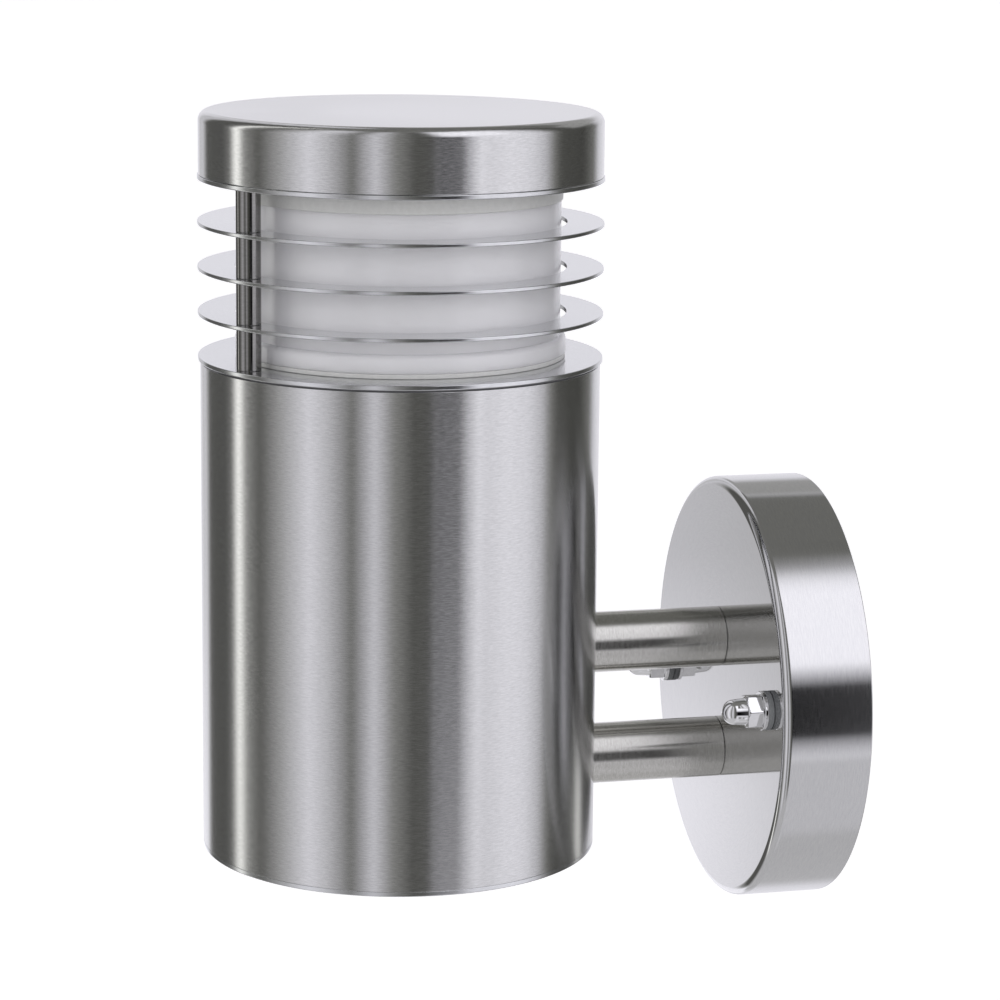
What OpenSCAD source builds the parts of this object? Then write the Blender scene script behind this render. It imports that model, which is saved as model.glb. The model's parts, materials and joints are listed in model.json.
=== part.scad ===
// Tube wall light: a louvred head on a round body, held off the wall by two arms.
// The origin is the middle of the wall plate's back, on the wall. +Z is up and the lamp stands towards -Y.

/* [Body] */
// Wall of the body tube
tube_wall = 1.5; // [1:0.1:2]
// Distance from the wall to the axis of the lamp
reach = 110; // [105:1:140]
// Thickness of the base plate that closes the tube
base_t = 1.2; // [0.8:0.1:2]
// Height of the base plate's rim inside the tube
base_rim_h = 6; // [3:0.5:8]
// Wall of the base plate's rim
base_rim_wall = 1.5; // [1:0.1:2]
// Room between the lampholder's pipe and the base plate
foot_room = 3.25; // [1:0.25:10]

/* [Wall plate] */
// Outer diameter of the wall plate
plate_d = 111.2; // [108:0.2:130]
// How far the wall plate's face stands from the wall
plate_out = 23.4; // [22:0.1:30]
// Thickness of the wall plate's sheet
plate_wall = 1.2; // [0.8:0.1:1.5]
// Rounding of the wall plate's front edge
plate_edge_r = 1.5; // [1.3:0.1:5]
// Thickness of the gasket inside the wall plate's rim
wall_gasket_t = 1; // [0.5:0.1:2]
// Width of the gasket inside the wall plate's rim
wall_gasket_w = 2.2; // [1.5:0.1:3]

/* [Wall bracket] */
// Distance from the wall bracket's ends to the edge of the wall plate
bracket_inset = 5.6; // [4.5:0.1:7]
// Height of the wall bracket
bracket_h = 24; // [22:1:26]
// Thickness of the wall bracket
bracket_t = 2; // [1.5:0.1:2.5]
// Distance from each stud to the middle of the next slot for a wall screw
slot_from_stud = 17; // [14:0.5:20]
// Length of each wall slot
wall_slot_l = 12; // [8:0.5:13]
// Width of each wall slot
wall_slot_w = 5; // [4:0.1:5.5]

/* [Fixings of the wall plate] */
// Distance from the studs to the edge of the wall plate
stud_inset = 12.6; // [11:0.1:16]
// Turn of the line of studs out of level, in degrees
stud_turn = 5.5; // [0:0.5:8]
// Diameter of the studs
stud_d = 5; // [4.5:0.1:5.5]
// Thickness of the sealing washers
seal_washer_t = 1.5; // [1:0.1:3]
// Thickness of the plain washers
washer_t = 1; // [0.8:0.1:1.6]
// Diameter of the washers under the dome nuts
washer_d = 10; // [9:0.1:12]
// Width of the dome nuts across their flats
dome_af = 8; // [7.6:0.1:9]
// Height of the hexagon of a dome nut
dome_hex_h = 4; // [3:0.1:5]
// Whole height of a dome nut
dome_h = 10; // [9:0.1:12]
// Diameter of the dome where it leaves the hexagon
dome_d = 7.5; // [7:0.1:7.5]
// Diameter of the ball at the dome's tip
dome_tip_d = 6.4; // [6:0.1:7.5]
// Turn of the dome nuts' hexagons, in degrees
dome_turn = 9; // [0:1:59]

/* [Arms] */
// Outer diameter of the arms
arm_d = 15.9; // [15:0.1:18]
// Wall of the arms
arm_wall = 1.5; // [1:0.1:1.8]
// Spacing of the arms, centre to centre
arm_spacing = 30.1; // [28:0.1:34]
// How far the arms' middle lies below the middle of the wall plate
arm_drop = 1.6; // [0:0.1:3]
// Diameter of the threaded pipes that clamp the arms
pipe_d = 10; // [9:0.1:10]
// Bore of the threaded pipes, where the wires run
pipe_bore = 7.6; // [7:0.1:8]
// Width of the pipe nuts across their flats
pipe_nut_af = 14; // [13:0.1:14]
// Thickness of the pipe nuts
pipe_nut_t = 3.5; // [2.5:0.1:4]
// How far a pipe stands past its nuts
pipe_past = 2; // [1:0.1:3]

/* [Lamp bracket] */
// Width of the strip inside the tube that carries the lampholder
strap_w = 20; // [18:1:22]
// Thickness of the strip
strap_t = 2; // [1.5:0.1:2.5]
// Distance from each arm's centre to the strip's end
strap_over = 10; // [9:0.5:11]
// How far the strip's foot runs past the lamp's axis
strap_past = 12; // [10:1:16]

/* [Lampholder] */
// Height of the lampholder's underside above the arms' middle
holder_z = 3.6; // [0:0.1:10]
// Outer diameter of the lampholder
holder_d = 39; // [36:0.5:42]
// Height of the lampholder
holder_h = 46; // [44:0.5:46]
// Diameter of the neck that takes the pipe
holder_neck_d = 20; // [16:0.5:21]
// Height of the neck
holder_neck_h = 6; // [5:0.5:7]
// Height of the room for the contact under the lamp
contact_room = 1.5; // [1.5:0.1:4]
// Outer diameter of the screw shell
shell_d = 27.2; // [27:0.1:27.6]
// Sheet of the screw shell
shell_t = 0.4; // [0.3:0.05:0.4]
// Height of the screw shell
shell_h = 22; // [18:0.5:24]

/* [Lamp] */
// Diameter of the lamp's bulb
bulb_d = 60; // [55:1:62]
// Length of the lamp from its contact to its top
lamp_l = 108; // [96:1:120]
// Height of the lamp's screw cap with its contact
lamp_cap_h = 27; // [27:0.5:29]
// Height of the black insulator under the screw cap
lamp_insulator_h = 5; // [4:0.5:6]
// Diameter of the lamp's contact
lamp_contact_d = 9; // [7:0.5:10]
// Room between the lamp's top and the cap
lamp_head_room = 6.7; // [3:0.1:20]
// Room round the lamp inside the diffuser
lamp_side_room = 7.5; // [4:0.1:12]

/* [Head] */
// Thickness of the gasket between the head and the tube
head_gasket_t = 0.5; // [0.3:0.1:1]
// Thickness of the head's lower plate
top_plate_t = 1.2; // [0.8:0.1:2]
// How far the plates and louvre rings stand proud of the tube
disc_proud = 0.6; // [0:0.1:2]
// Clearance round the lamp in the lower plate's hole
lamp_pass = 6; // [2:0.5:7]
// Height of the plug ring that enters the tube
plug_h = 10; // [8:0.5:14]
// Wall of the plug ring inside its tie rods
plug_in_wall = 2.2; // [1:0.1:3]
// Wall of the plug ring outside its tie rods
plug_out_wall = 0.8; // [0.8:0.1:2]

/* [Louvre] */
// Thickness of the louvre rings
ring_t = 1; // [0.8:0.1:2]
// Clearance between the louvre rings and the diffuser
ring_clear = 1.5; // [0.5:0.1:2]
// Height of the spacer tubes
spacer_h = 10.4; // [9:0.1:14]
// Outer diameter of the spacer tubes
spacer_d = 6.2; // [6:0.1:6.4]
// Clearance between the posts and the diffuser's foot
post_clear = 1.6; // [0.8:0.1:3]
// Turn of the posts from the front, in degrees
post_turn = 24.4; // [0:0.2:90]
// Diameter of the tie rods inside the posts
rod_d = 3; // [2.5:0.1:3]
// How far a tie rod enters the plug ring
rod_in_plug = 8; // [5:0.5:8]

/* [Cap] */
// Height of the cap's shell
cap_h = 16; // [14:0.5:24]
// How far the cap stands proud of the tube
cap_proud = 0.3; // [0:0.1:0.6]
// Sheet of the cap
cap_wall = 1; // [0.8:0.1:1]
// Rounding of the cap's upper edge
cap_edge_r = 2.6; // [2:0.1:4]
// Thickness of the plate under the cap
cap_plate_t = 1.2; // [0.8:0.1:2]
// Height of the step that the cap is pressed over
cap_step_h = 2; // [1.5:0.1:3]

/* [Diffuser] */
// Wall of the diffuser
diffuser_wall = 3; // [2:0.1:3.4]
// How far the diffuser's foot stands out
diffuser_foot_out = 1.5; // [0.5:0.1:2]
// Height of the diffuser's foot
diffuser_foot_h = 4.7; // [3:0.1:6]
// Rounding of the foot's shoulder
diffuser_shoulder_r = 1.5; // [0.5:0.1:1.5]
// Thickness of the gasket under the diffuser
foot_gasket_t = 1.2; // [0.8:0.1:2]
// Depth of the gasket round the diffuser's upper edge
upper_gasket_h = 4.6; // [3:0.1:6]
// Side wall of the upper gasket
upper_gasket_wall = 0.4; // [0.4:0.1:0.8]
// Thickness of the upper gasket over the diffuser's edge
upper_gasket_roof = 1; // [0.6:0.1:1.5]

/* [Terminal block and wires] */
// Length of the terminal block
block_l = 30; // [28:0.5:32]
// Height of the terminal block
block_h = 15; // [12:0.5:15]
// Depth of the terminal block
block_out = 11; // [9:0.5:11]
// Spacing of the ways in the terminal block
way_spacing = 9; // [8:0.1:9.5]
// Diameter of the wires
wire_d = 2; // [1.6:0.1:2.2]
// Gap between the wires in the pipe
wire_gap = 0.8; // [0.6:0.1:1]

/* [Lock screw] */
// Diameter of the lock screw
lock_d = 4; // [3:0.1:5]
// Length of the lock screw
lock_l = 2.5; // [2:0.1:5]
// Height of the lock screw below the tube's upper edge
lock_drop = 5; // [4:0.1:6]

/* [Fits] */
// Radial clearance of a screw thread or a pressed joint
thread_gap = 0.05; // [0.03:0.01:0.1]
// Radial clearance of a pipe, stud or rod in a plain hole
hole_gap = 0.2; // [0.1:0.05:0.3]
// Clearance between the head's plug ring and the tube
plug_gap = 0.3; // [0.2:0.05:0.4]
// Radial clearance of the lamp's cap in the screw shell
lamp_gap = 0.07; // [0.05:0.01:0.1]

/* [Hidden] */
$fn = 96;
// overrun of every cut
over = 1;

// radii, from the lamp outwards: diffuser, its foot, posts, plug ring, tube and discs
diffuser_in_r = bulb_d / 2 + lamp_side_room;
diffuser_r = diffuser_in_r + diffuser_wall;
diffuser_foot_r = diffuser_r + diffuser_foot_out;
post_r = diffuser_foot_r + post_clear + spacer_d / 2;
plug_in_r = post_r - rod_d / 2 - plug_in_wall;
plug_r = post_r + rod_d / 2 + plug_out_wall;
tube_in_r = plug_r + plug_gap;
tube_r = tube_in_r + tube_wall;
disc_r = tube_r + disc_proud;
cap_r = tube_r + cap_proud;
plate_r = plate_d / 2;
arm_r = arm_d / 2;
pipe_r = pipe_d / 2;

// heights round the arms
arms_mid_z = -arm_drop;
arm_z = [arms_mid_z - arm_spacing / 2, arms_mid_z + arm_spacing / 2];
strap_foot_z = arm_z[0] - strap_over;
stem_z = strap_foot_z - pipe_nut_t - pipe_past;
body_z = stem_z - foot_room - base_t;
tube_z = body_z + base_t;

// lampholder and lamp
lamp_seat_gap = 0.5;
holder_under_z = arms_mid_z + holder_z;
holder_top_z = holder_under_z + holder_h;
lamp_z = holder_top_z + lamp_seat_gap - lamp_cap_h;
lamp_top_z = lamp_z + lamp_l;
holder_floor_z = lamp_z - contact_room;
shell_r = shell_d / 2;
lamp_cap_r = shell_r - shell_t - lamp_gap;
lamp_neck_d = 29;
lamp_tip_h = 1;
lamp_skirt_h = 3;
lamp_board_t = 1.5;
bulb_wall = 1;
// the bulb's ball is cut where its section is as wide as the housing's upper end
housing_share = 0.9;
bulb_cut = bulb_d / 2 * sqrt(1 - pow(housing_share, 2));
housing_h = lamp_l - lamp_cap_h - lamp_skirt_h - bulb_d / 2 - bulb_cut;

// heights of the head, from the cap over the lamp down to the tube's upper edge
ring_pitch = spacer_h + ring_t;
ring_count = 3;
cap_plate_z = lamp_top_z + lamp_head_room;
cap_z = cap_plate_z + cap_plate_t;
louvre_z = cap_plate_z - spacer_h - ring_count * ring_pitch;
head_z = louvre_z - top_plate_t;
tube_top_z = head_z - head_gasket_t;

// the strip inside the tube lies against the wall side with its two long edges
strap_back = reach - sqrt(pow(tube_in_r, 2) - pow(strap_w / 2, 2)) + thread_gap;
strap_front = strap_back + strap_t;

// the louvre's post places, seen from above
post_places = [for (turn = [0, 180]) [post_r * sin(post_turn + turn), -post_r * cos(post_turn + turn)]];
// the studs, in the wall plate's own plane; they end just short of the dome nuts' threads
stud_r = plate_r - stud_inset;
stud_places = [for (side = [-1, 1]) side * stud_r * [cos(stud_turn), sin(stud_turn)]];
dome_roof = 2.5;
stud_short = 0.5;
nut_thread_depth = dome_h - dome_roof;
stud_end = plate_out + seal_washer_t + washer_t + nut_thread_depth - stud_short;
bracket_l = plate_d - 2 * bracket_inset;

// small sizes of single pieces
m3_nut_af = 5.5;
m3_nut_h = 2.4;
rod_past = 1;
contact_w = 6;
contact_t = 0.5;
contact_l = 10;
way_screw_d = 3;
way_screw_h = 1.5;
block_screw_d = 3;
block_screw_head_d = 5;
block_screw_head_h = 2;
lug_d = 8;
lug_t = 0.8;
lug_barrel_d = 3.2;
lug_barrel_l = 5;
lug_hold = 3;
lug_before_axis = 15;
earth_screw_d = 4;
earth_head_d = 7;
earth_head_h = 2.6;
bush_t = 0.8;
bush_l = 3;
bush_lip = 1.4;
key_af = 2;
key_depth = 1.5;
lock_gap = 0.1;

// the wires: where they leave the terminal block, pass the lower pipe as a bundle of three, and end
wire_sides = 8;
route_steps = 4;
bundle_r = (wire_d + wire_gap) / sqrt(3);
wire_row = bundle_r * cos(30);
wire_in_block = 3;
bend = 5;
holder_wire_x = 12;
holder_wire_before_axis = 7;
pipe_start = plate_out - plate_wall - pipe_nut_t - pipe_past;
pipe_end = strap_front + pipe_nut_t + pipe_past;
way_out = bracket_t + block_out / 2;
high_wires_z = arm_z[0] + bundle_r / 2;
low_wire_z = arm_z[0] - bundle_r;
holder_wire_end_z = holder_under_z + holder_neck_h;
lug_wire_z = strap_foot_z + strap_t + lug_barrel_d / 2;
lug_wire_out = reach - lug_before_axis - lug_d / 2 + hole_gap - lug_barrel_l + lug_hold;

// turns a piece drawn along +Z so that it grows out of the wall; its Y becomes up
module from_wall() {
    rotate([90, 0, 0]) children();
}

// puts a piece drawn round the Z axis on the lamp's axis
module on_lamp_axis(z = 0) {
    translate([0, -reach, z]) children();
}

module ring(r_out, r_in, h) {
    difference() {
        cylinder(r = r_out, h = h);
        translate([0, 0, -over]) cylinder(r = r_in, h = h + 2 * over);
    }
}

module hex_nut(af, r_in, h) {
    difference() {
        cylinder(r = af / sqrt(3), h = h, $fn = 6);
        translate([0, 0, -over]) cylinder(r = r_in, h = h + 2 * over);
    }
}

// sheet profile of a drawn cup: outer radius, depth, wall and edge rounding
module cup_profile(r, h, wall, edge_r) {
    difference() {
        rounded_corner(r, h, edge_r);
        translate([0, -wall]) rounded_corner(r - wall, h, max(edge_r - wall, 0));
    }
}

module rounded_corner(r, h, edge_r) {
    square([r - edge_r, h]);
    square([r, h - edge_r]);
    if (edge_r > 0) {
        translate([r - edge_r, h - edge_r]) intersection() {
            circle(r = edge_r);
            square(edge_r);
        }
    }
}

// a flat strip with round ends
module strip(length, height) {
    square([length - height, height], center = true);
    for (side = [-1, 1]) {
        translate([side * (length - height) / 2, 0]) circle(d = height);
    }
}

// Wall side

module wall_bracket() {
    color("lightsteelblue") from_wall() linear_extrude(bracket_t) difference() {
        strip(bracket_l, bracket_h);
        for (side = [-1, 1]) {
            translate([side * (stud_r - slot_from_stud), 0]) strip(wall_slot_l, wall_slot_w);
        }
        for (place = stud_places) {
            translate(place) circle(r = stud_d / 2 + thread_gap);
        }
        translate([way_spacing / 2, 0]) circle(r = block_screw_d / 2 + thread_gap);
    }
}

module bracket_studs() {
    color("silver") from_wall() for (place = stud_places) {
        translate(place) cylinder(d = stud_d, h = stud_end);
    }
}

// the gasket lies inside the wall plate's rim
module wall_gasket() {
    rim_in_r = plate_r - plate_wall;
    color("dimgray") from_wall() ring(rim_in_r - thread_gap, rim_in_r - wall_gasket_w, wall_gasket_t);
}

module wall_plate() {
    color("silver") from_wall() difference() {
        rotate_extrude() cup_profile(plate_r, plate_out, plate_wall, plate_edge_r);
        for (z = arm_z) {
            translate([0, z, 0]) cylinder(r = pipe_r + hole_gap, h = plate_out + over);
        }
        for (place = stud_places) {
            translate(place) cylinder(r = stud_d / 2 + hole_gap, h = plate_out + over);
        }
    }
}

module sealing_washers() {
    color("gray") from_wall() for (place = stud_places) {
        translate([place[0], place[1], plate_out]) ring(washer_d / 2, stud_d / 2 + thread_gap, seal_washer_t);
    }
}

module plain_washers() {
    color("gainsboro") from_wall() for (place = stud_places) {
        translate([place[0], place[1], plate_out + seal_washer_t]) {
            ring(washer_d / 2, stud_d / 2 + hole_gap, washer_t);
        }
    }
}

// the dome is a slightly tapered stem under half a ball
module dome_nuts() {
    hex_r = dome_af / sqrt(3);
    color("gainsboro") from_wall() for (place = stud_places) {
        translate([place[0], place[1], plate_out + seal_washer_t + washer_t]) difference() {
            union() {
                rotate(dome_turn) cylinder(r = hex_r, h = dome_hex_h, $fn = 6);
                cylinder(d1 = dome_d, d2 = dome_tip_d, h = dome_h - dome_tip_d / 2);
                translate([0, 0, dome_h - dome_tip_d / 2]) sphere(d = dome_tip_d);
            }
            translate([0, 0, -over]) cylinder(r = stud_d / 2 + thread_gap, h = nut_thread_depth + over);
        }
    }
}

module terminal_block() {
    color("whitesmoke") from_wall() translate([0, 0, bracket_t]) difference() {
        translate([-block_l / 2, -block_h / 2, 0]) cube([block_l, block_h, block_out]);
        for (way = [-1, 0, 1]) {
            translate([way * way_spacing, 0, 0]) {
                translate([0, 0, block_out / 2]) rotate([90, 0, 0]) {
                    cylinder(r = wire_d / 2 + hole_gap, h = block_h, center = true);
                }
                translate([0, -block_h / 4, block_out - way_screw_h]) {
                    cylinder(r = way_screw_d / 2 + hole_gap, h = way_screw_h + over);
                }
            }
        }
        translate([way_spacing / 2, 0, -over]) {
            cylinder(r = block_screw_d / 2 + hole_gap, h = block_out + 2 * over);
        }
    }
}

module terminal_screws() {
    color("goldenrod") from_wall() for (way = [-1, 0, 1]) {
        translate([way * way_spacing, -block_h / 4, bracket_t + block_out - way_screw_h]) {
            cylinder(d = way_screw_d, h = way_screw_h);
        }
    }
}

module block_screw() {
    color("silver") from_wall() translate([way_spacing / 2, 0, 0]) {
        cylinder(d = block_screw_d, h = bracket_t + block_out);
        translate([0, 0, bracket_t + block_out]) cylinder(d = block_screw_head_d, h = block_screw_head_h);
    }
}

// Arms and what clamps them

// each arm is a tube cut to the body's curve at its lamp end
module arm(z) {
    end = reach - sqrt(pow(tube_r, 2) - pow(arm_r, 2));
    color("lightgray") difference() {
        from_wall() translate([0, z, plate_out]) ring(arm_r, arm_r - arm_wall, end - plate_out);
        on_lamp_axis(z - arm_d) cylinder(r = tube_r + thread_gap, h = 2 * arm_d);
    }
}

module lower_arm() {
    arm(arm_z[0]);
}

module upper_arm() {
    arm(arm_z[1]);
}

module arm_pipes() {
    color("khaki") from_wall() for (z = arm_z) {
        translate([0, z, pipe_start]) ring(pipe_r, pipe_bore / 2, pipe_end - pipe_start);
    }
}

module plate_nuts() {
    color("khaki") from_wall() for (z = arm_z) {
        translate([0, z, plate_out - plate_wall - pipe_nut_t]) {
            hex_nut(pipe_nut_af, pipe_r + thread_gap, pipe_nut_t);
        }
    }
}

module body_nuts() {
    color("khaki") from_wall() for (z = arm_z) {
        translate([0, z, strap_front]) hex_nut(pipe_nut_af, pipe_r + thread_gap, pipe_nut_t);
    }
}

// collars that keep the wires off the lower pipe's edges
module wire_bushes() {
    color("white") from_wall() translate([0, arm_z[0], 0]) {
        translate([0, 0, pipe_start - bush_t]) bush();
        translate([0, 0, pipe_end + bush_t]) mirror([0, 0, 1]) bush();
    }
}

module bush() {
    ring(pipe_bore / 2 + bush_lip / 2, pipe_bore / 2 - bush_t / 2, bush_t);
    ring(pipe_bore / 2 - thread_gap, pipe_bore / 2 - bush_t / 2, bush_t + bush_l);
}

// Body

module body_tube() {
    color("silver") difference() {
        on_lamp_axis(tube_z) ring(tube_r, tube_in_r, tube_top_z - tube_z);
        from_wall() {
            for (z = arm_z) {
                translate([0, z, 0]) cylinder(r = pipe_r + hole_gap, h = reach);
            }
            translate([0, tube_top_z - lock_drop, 0]) cylinder(r = lock_d / 2 + thread_gap, h = reach);
        }
    }
}

module base_plate() {
    color("gainsboro") on_lamp_axis(body_z) {
        cylinder(r = tube_r, h = base_t);
        translate([0, 0, base_t]) {
            ring(tube_in_r - thread_gap, tube_in_r - thread_gap - base_rim_wall, base_rim_h);
        }
    }
}

// a strip with a foot: the arms' nuts clamp its back, and its foot carries the lampholder's pipe
module lamp_bracket() {
    back_h = arm_z[1] + strap_over - strap_foot_z;
    foot_l = reach + strap_past - strap_back;
    color("lightsteelblue") difference() {
        from_wall() translate([-strap_w / 2, strap_foot_z, strap_back]) {
            cube([strap_w, back_h, strap_t]);
            cube([strap_w, strap_t, foot_l]);
        }
        from_wall() for (z = arm_z) {
            translate([0, z, 0]) cylinder(r = pipe_r + hole_gap, h = reach);
        }
        on_lamp_axis(strap_foot_z - over) cylinder(r = pipe_r + hole_gap, h = strap_t + 2 * over);
        on_lamp_axis(strap_foot_z - over) translate([0, lug_before_axis, 0]) {
            cylinder(r = earth_screw_d / 2 + thread_gap, h = strap_t + 2 * over);
        }
    }
}

module earth_lug() {
    color("goldenrod") on_lamp_axis(strap_foot_z + strap_t) translate([0, lug_before_axis, 0]) {
        ring(lug_d / 2, earth_screw_d / 2 + hole_gap, lug_t);
        translate([0, lug_d / 2 - hole_gap, lug_barrel_d / 2]) rotate([-90, 0, 0]) difference() {
            cylinder(d = lug_barrel_d, h = lug_barrel_l);
            translate([0, 0, lug_barrel_l - lug_hold]) {
                cylinder(r = wire_d / 2 + thread_gap, h = lug_hold + over);
            }
        }
    }
}

module earth_screw() {
    color("silver") on_lamp_axis(strap_foot_z) translate([0, lug_before_axis, 0]) {
        translate([0, 0, -earth_head_h]) cylinder(d = earth_screw_d, h = earth_head_h + strap_t + lug_t);
        translate([0, 0, strap_t + lug_t]) cylinder(d = earth_head_d, h = earth_head_h);
    }
}

// Lampholder

module holder_pipe() {
    color("khaki") on_lamp_axis(stem_z) ring(pipe_r, pipe_bore / 2, holder_under_z + holder_neck_h - stem_z);
}

module holder_nuts() {
    foot_top = strap_foot_z + strap_t;
    color("khaki") for (z = [strap_foot_z - pipe_nut_t, foot_top, holder_under_z - pipe_nut_t]) {
        on_lamp_axis(z) hex_nut(pipe_nut_af, pipe_r + thread_gap, pipe_nut_t);
    }
}

module lampholder() {
    color("linen") on_lamp_axis(holder_under_z) difference() {
        union() {
            cylinder(d = holder_neck_d, h = holder_neck_h);
            translate([0, 0, holder_neck_h]) cylinder(d = holder_d, h = holder_h - holder_neck_h);
        }
        translate([0, 0, -over]) cylinder(r = pipe_r + thread_gap, h = holder_neck_h + over);
        translate([0, 0, holder_floor_z - holder_under_z]) cylinder(r = shell_r + thread_gap, h = holder_h);
    }
}

module screw_shell() {
    color("goldenrod") on_lamp_axis(holder_floor_z) ring(shell_r, shell_r - shell_t, shell_h);
}

// a bent tongue: it lies on the floor at one end and presses up under the lamp at the other
module centre_contact() {
    rise = lamp_z - holder_floor_z - contact_t;
    color("goldenrod") on_lamp_axis(holder_floor_z) {
        translate([-contact_l / 2, -contact_w / 2, 0]) {
            cube([contact_l, contact_w, contact_t]);
            cube([contact_t, contact_w, rise + contact_t - thread_gap]);
            translate([0, 0, rise]) cube([contact_l, contact_w, contact_t - thread_gap]);
        }
    }
}

// Lamp

module lamp_cap() {
    color("silver") on_lamp_axis(lamp_z + lamp_insulator_h) {
        cylinder(r = lamp_cap_r, h = lamp_cap_h - lamp_insulator_h);
    }
}

module lamp_contact() {
    color("gainsboro") on_lamp_axis(lamp_z) cylinder(d = lamp_contact_d, h = lamp_tip_h);
}

module lamp_insulator() {
    color("black") on_lamp_axis(lamp_z) difference() {
        cylinder(r1 = lamp_contact_d / 2 + lamp_tip_h, r2 = lamp_cap_r - lamp_tip_h, h = lamp_insulator_h);
        translate([0, 0, -over]) cylinder(d = lamp_contact_d, h = lamp_tip_h + over);
    }
}

// the housing is a cone that the bulb's ball meets
module lamp_housing() {
    color("white") on_lamp_axis(lamp_z + lamp_cap_h) {
        cylinder(d = lamp_neck_d, h = lamp_skirt_h);
        translate([0, 0, lamp_skirt_h]) {
            cylinder(d1 = lamp_neck_d, d2 = bulb_d * housing_share, h = housing_h);
        }
    }
}

// the board that carries the light sources, flat on the housing inside the dome
module lamp_board() {
    board_r = sqrt(pow(bulb_d / 2 - bulb_wall, 2) - pow(bulb_cut, 2)) - hole_gap;
    color("gold") on_lamp_axis(lamp_top_z - bulb_d / 2 - bulb_cut) cylinder(r = board_r, h = lamp_board_t);
}

module lamp_dome() {
    color("ivory") on_lamp_axis(lamp_top_z - bulb_d / 2) difference() {
        sphere(d = bulb_d);
        sphere(r = bulb_d / 2 - bulb_wall);
        translate([-bulb_d, -bulb_d, -bulb_d]) cube([2 * bulb_d, 2 * bulb_d, bulb_d - bulb_cut]);
    }
}

// Head

module head_gasket() {
    color("black") on_lamp_axis(tube_top_z) ring(tube_r - hole_gap, tube_in_r, head_gasket_t);
}

module plug_ring() {
    color("lightgray") on_lamp_axis(head_z - plug_h) difference() {
        ring(plug_r, plug_in_r, plug_h);
        for (place = post_places) {
            translate([place[0], place[1], plug_h - rod_in_plug]) {
                cylinder(r = rod_d / 2 + thread_gap, h = rod_in_plug + over);
            }
        }
    }
}

// a disc with the two holes of the tie rods
module louvre_disc(r_in, h) {
    difference() {
        ring(disc_r, r_in, h);
        rod_holes(h);
    }
}

module rod_holes(h) {
    for (place = post_places) {
        translate([place[0], place[1], -over]) cylinder(r = rod_d / 2 + hole_gap, h = h + 2 * over);
    }
}

module top_plate() {
    color("silver") on_lamp_axis(head_z) louvre_disc(bulb_d / 2 + lamp_pass, top_plate_t);
}

module louvre_ring(level) {
    color("silver") on_lamp_axis(louvre_z + spacer_h + level * ring_pitch) {
        louvre_disc(diffuser_r + ring_clear, ring_t);
    }
}

module spacers(level) {
    color("gainsboro") on_lamp_axis(louvre_z + level * ring_pitch) for (place = post_places) {
        translate(place) ring(spacer_d / 2, rod_d / 2 + hole_gap, spacer_h);
    }
}

module tie_rods() {
    start = head_z - rod_in_plug;
    end = cap_z + cap_step_h + m3_nut_h + rod_past;
    color("silver") on_lamp_axis(start) for (place = post_places) {
        translate(place) cylinder(d = rod_d, h = end - start);
    }
}

module rod_nuts() {
    color("silver") on_lamp_axis(cap_z + cap_step_h) for (place = post_places) {
        translate(place) rotate(post_turn) hex_nut(m3_nut_af, rod_d / 2 + thread_gap, m3_nut_h);
    }
}

module foot_gasket() {
    color("gray") on_lamp_axis(louvre_z) {
        ring(diffuser_foot_r - hole_gap, diffuser_in_r, foot_gasket_t);
    }
}

// a tube with a thicker foot, whose shoulder is rounded
module diffuser() {
    foot_z = louvre_z + foot_gasket_t;
    height = cap_plate_z - upper_gasket_roof - foot_z;
    round_r = min(diffuser_shoulder_r, diffuser_foot_h);
    color("white") on_lamp_axis(foot_z) rotate_extrude() {
        translate([diffuser_in_r, 0]) square([diffuser_wall, height]);
        difference() {
            rounded_corner(diffuser_foot_r, diffuser_foot_h, round_r);
            square([diffuser_in_r, diffuser_foot_h]);
        }
    }
}

module upper_gasket() {
    color("silver") on_lamp_axis(cap_plate_z - upper_gasket_h) difference() {
        ring(diffuser_r + upper_gasket_wall, diffuser_in_r - upper_gasket_wall, upper_gasket_h);
        translate([0, 0, -over]) {
            ring(diffuser_r + thread_gap, diffuser_in_r - thread_gap,
                over + upper_gasket_h - upper_gasket_roof);
        }
    }
}

// a plate with a step; the cap is pressed over the step
module cap_plate() {
    color("silver") on_lamp_axis(cap_plate_z) difference() {
        union() {
            cylinder(r = disc_r, h = cap_plate_t);
            cylinder(r = cap_r - cap_wall - thread_gap, h = cap_plate_t + cap_step_h);
        }
        rod_holes(cap_plate_t + cap_step_h);
    }
}

module cap() {
    color("silver") on_lamp_axis(cap_z) rotate_extrude() cup_profile(cap_r, cap_h, cap_wall, cap_edge_r);
}

// Lock screw in the tube's wall side; its flat tip presses on the plug ring
module lock_screw() {
    tip = reach - tube_in_r + plug_gap - lock_gap;
    color("dimgray") from_wall() translate([0, tube_top_z - lock_drop, tip - lock_l]) difference() {
        cylinder(d = lock_d, h = lock_l);
        translate([0, 0, -over]) cylinder(r = key_af / sqrt(3), h = key_depth + over, $fn = 6);
    }
}

// Wires: the routes are points in the wires' own order, from the terminal block to their ends.
// A route runs through its points as a smooth curve, and an eight-sided tube is swept along it.

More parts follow.
